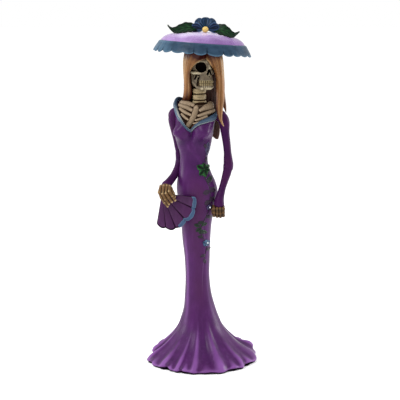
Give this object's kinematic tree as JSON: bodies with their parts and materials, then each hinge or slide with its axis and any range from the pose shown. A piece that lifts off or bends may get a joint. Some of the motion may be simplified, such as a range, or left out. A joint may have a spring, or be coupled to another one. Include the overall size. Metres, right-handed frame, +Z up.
{
  "type": "papier-mache catrina figure",
  "caption": "Tall skeleton lady in a fitted purple gown with a fluted hem, wide ruffled hat with a flower and leaves, long hair, and a pleated fan held at the hip.",
  "frame": {"origin": "middle of the footprint, on the floor the figure stands on", "axes": "+Z up from the floor to the hat; the front of the figure looks towards -Y; +X is the side of the free hand"},
  "size_m": [0.1276, 0.1308, 0.4],
  "materials": {
    "gown_purple": "satin acrylic over layered paper",
    "collar_blue": "satin acrylic",
    "fan_purple": "satin acrylic",
    "fan_trim_blue": "satin acrylic",
    "bone_paint": "satin acrylic with a brown wash",
    "teeth_paint": "satin acrylic with a brown wash",
    "hand_bone": "satin acrylic with a dark wash",
    "hair_auburn": "satin acrylic",
    "hair_dark": "satin acrylic",
    "hat_lilac": "satin acrylic",
    "hat_lining": "matt paint",
    "ruffle_blue": "satin acrylic",
    "petal_blue": "satin acrylic",
    "bead_yellow": "satin acrylic",
    "leaf_green": "satin acrylic",
    "blossom_blue": "satin acrylic",
    "core_paper": "rolled paper with a dark wash",
    "ballast": "cast plaster",
    "board_wood": "plain"
  },
  "bodies": {
    "root": {"base_board": "board_wood", "spine_dowel": "board_wood", "ballast_plaster": "ballast", "torso_core": "core_paper", "gown_shell": "gown_purple", "sleeve_fan_side": "gown_purple", "sleeve_free_side": "gown_purple", "collar_fan_side": "collar_blue", "collar_free_side": "collar_blue", "sternum": "bone_paint", "clavicle_fan_side": "bone_paint", "clavicle_free_side": "bone_paint", "rib_fan_side_1": "bone_paint", "rib_fan_side_2": "bone_paint", "rib_free_side_1": "bone_paint", "rib_free_side_2": "bone_paint", "rib_free_side_3": "bone_paint", "neck_vertebra_1": "bone_paint", "neck_vertebra_2": "bone_paint", "neck_vertebra_3": "bone_paint", "skull": "bone_paint", "jaw": "bone_paint", "upper_teeth": "teeth_paint", "lower_teeth": "teeth_paint", "hair_fan_side": "hair_auburn", "hair_free_side": "hair_auburn", "hair_back": "hair_dark", "hat_dome": "hat_lilac", "hat_lining": "hat_lining", "hat_ruffle": "ruffle_blue", "flower_centre": "bead_yellow", "flower_petal_1": "petal_blue", "flower_petal_2": "petal_blue", "flower_petal_3": "petal_blue", "flower_petal_4": "petal_blue", "flower_petal_5": "petal_blue", "hat_leaf_fan_side": "leaf_green", "hat_leaf_free_side": "leaf_green", "palm_fan_side": "hand_bone", "finger_fan_side_1": "hand_bone", "finger_fan_side_2": "hand_bone", "finger_fan_side_3": "hand_bone", "finger_fan_side_4": "hand_bone", "thumb_fan_side": "hand_bone", "palm_free_side": "hand_bone", "finger_free_side_1": "hand_bone", "finger_free_side_2": "hand_bone", "finger_free_side_3": "hand_bone", "finger_free_side_4": "hand_bone", "thumb_free_side": "hand_bone", "fan_leaf_1": "fan_purple", "fan_leaf_2": "fan_purple", "fan_leaf_3": "fan_purple", "fan_leaf_4": "fan_purple", "fan_leaf_5": "fan_purple", "fan_trim": "fan_trim_blue", "waist_leaves": "leaf_green", "vine": "leaf_green", "blossom_upper": "blossom_blue", "blossom_lower": "blossom_blue"}
  },
  "joints": []
}
